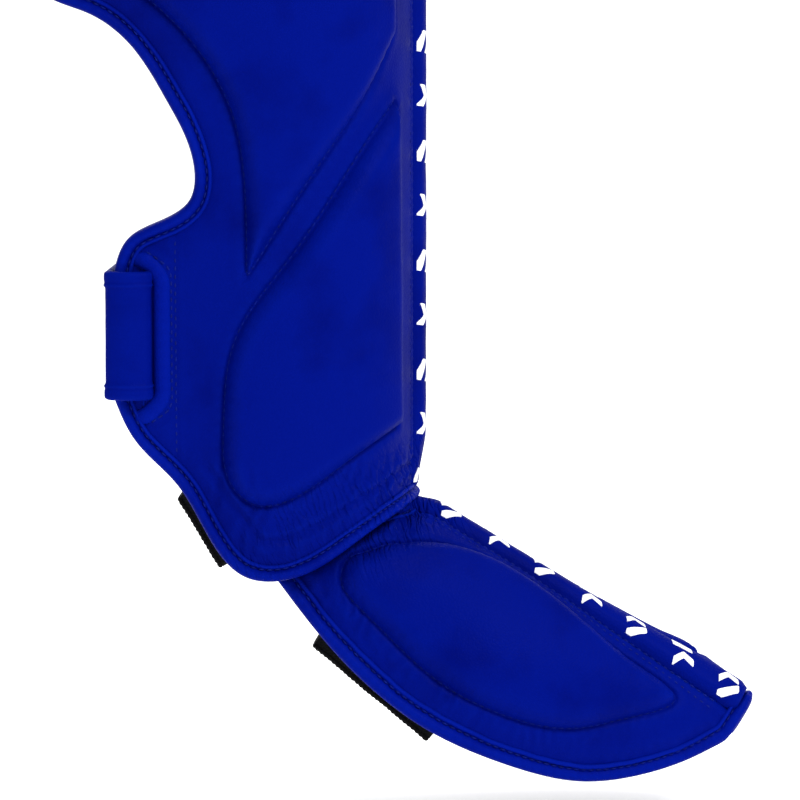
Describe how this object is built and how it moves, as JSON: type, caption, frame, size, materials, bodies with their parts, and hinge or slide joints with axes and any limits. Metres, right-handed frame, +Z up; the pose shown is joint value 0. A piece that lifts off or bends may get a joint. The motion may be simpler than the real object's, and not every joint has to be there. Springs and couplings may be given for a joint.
{
  "type": "shin guard",
  "caption": "Padded leather shin-and-instep guard: a half-shell for the shin with strap slots, hinged to a padded foot shell with elastics.",
  "frame": {"origin": "on the leg's axis, at the height where the instep folds against the shin", "axes": "+X towards the toes, +Y to the wearer's left, +Z up the leg"},
  "size_m": [0.2968, 0.1598, 0.4589],
  "materials": {
    "core_foam": "soft foam",
    "leather_blue": "smooth pebbled, satin",
    "leather_blue_binding": "folded edge binding, satin",
    "strip_leather": null,
    "lining_fabric": "brushed tricot",
    "elastic_black": "ribbed woven elastic",
    "hook_tape": "hook tape",
    "loop_tape": "loop pile tape"
  },
  "bodies": {
    "shin": {"shin_core": "core_foam", "shin_ridge_bar": "core_foam", "shin_lining": "lining_fabric", "shin_ridge_strip": "strip_leather", "shin_edge_binding": "leather_blue_binding", "shin_side_panel_left": "leather_blue", "shin_side_panel_right": "leather_blue", "upper_pad_left": "leather_blue", "upper_pad_right": "leather_blue", "lower_pad_left": "leather_blue", "lower_pad_right": "leather_blue", "ankle_strap": "leather_blue", "ankle_strap_anchor": "leather_blue", "ankle_slot_rim": "leather_blue_binding", "ankle_loop_tape": "loop_tape", "calf_strap": "leather_blue", "calf_strap_anchor": "leather_blue", "calf_slot_rim": "leather_blue_binding", "calf_loop_tape": "loop_tape", "heel_elastic": "elastic_black", "heel_elastic_end_left": "elastic_black", "heel_elastic_end_right": "elastic_black"},
    "instep": {"instep_core": "core_foam", "instep_ridge_bar": "core_foam", "instep_lining": "lining_fabric", "instep_ridge_strip": "strip_leather", "instep_edge_binding": "leather_blue_binding", "instep_side_panel_left": "leather_blue", "instep_side_panel_right": "leather_blue", "instep_pad_left": "leather_blue", "instep_pad_right": "leather_blue", "ankle_hinge_flap": "leather_blue", "arch_elastic": "elastic_black", "arch_elastic_end_left": "elastic_black", "arch_elastic_end_right": "elastic_black"},
    "ankle_tail": {"ankle_strap_tail": "leather_blue", "ankle_hook_tape": "hook_tape", "ankle_pull_tab": "leather_blue"},
    "calf_tail": {"calf_strap_tail": "leather_blue", "calf_hook_tape": "hook_tape", "calf_pull_tab": "leather_blue"}
  },
  "joints": [
    {"name": "ankle_flex", "type": "hinge", "parent": "shin", "child": "instep", "pos_m": [0.066, 0, 0.002], "axis": [0, 1, 0], "range_deg": [-15, 8]},
    {"name": "ankle_strap_peel", "type": "hinge", "parent": "shin", "child": "ankle_tail", "pos_m": [-0.0534, -0.0568, 0.0735], "axis": [0, 0, 1], "range_deg": [0, 110]},
    {"name": "calf_strap_peel", "type": "hinge", "parent": "shin", "child": "calf_tail", "pos_m": [-0.0904, -0.0624, 0.25], "axis": [0, 0, 1], "range_deg": [0, 110]}
  ]
}
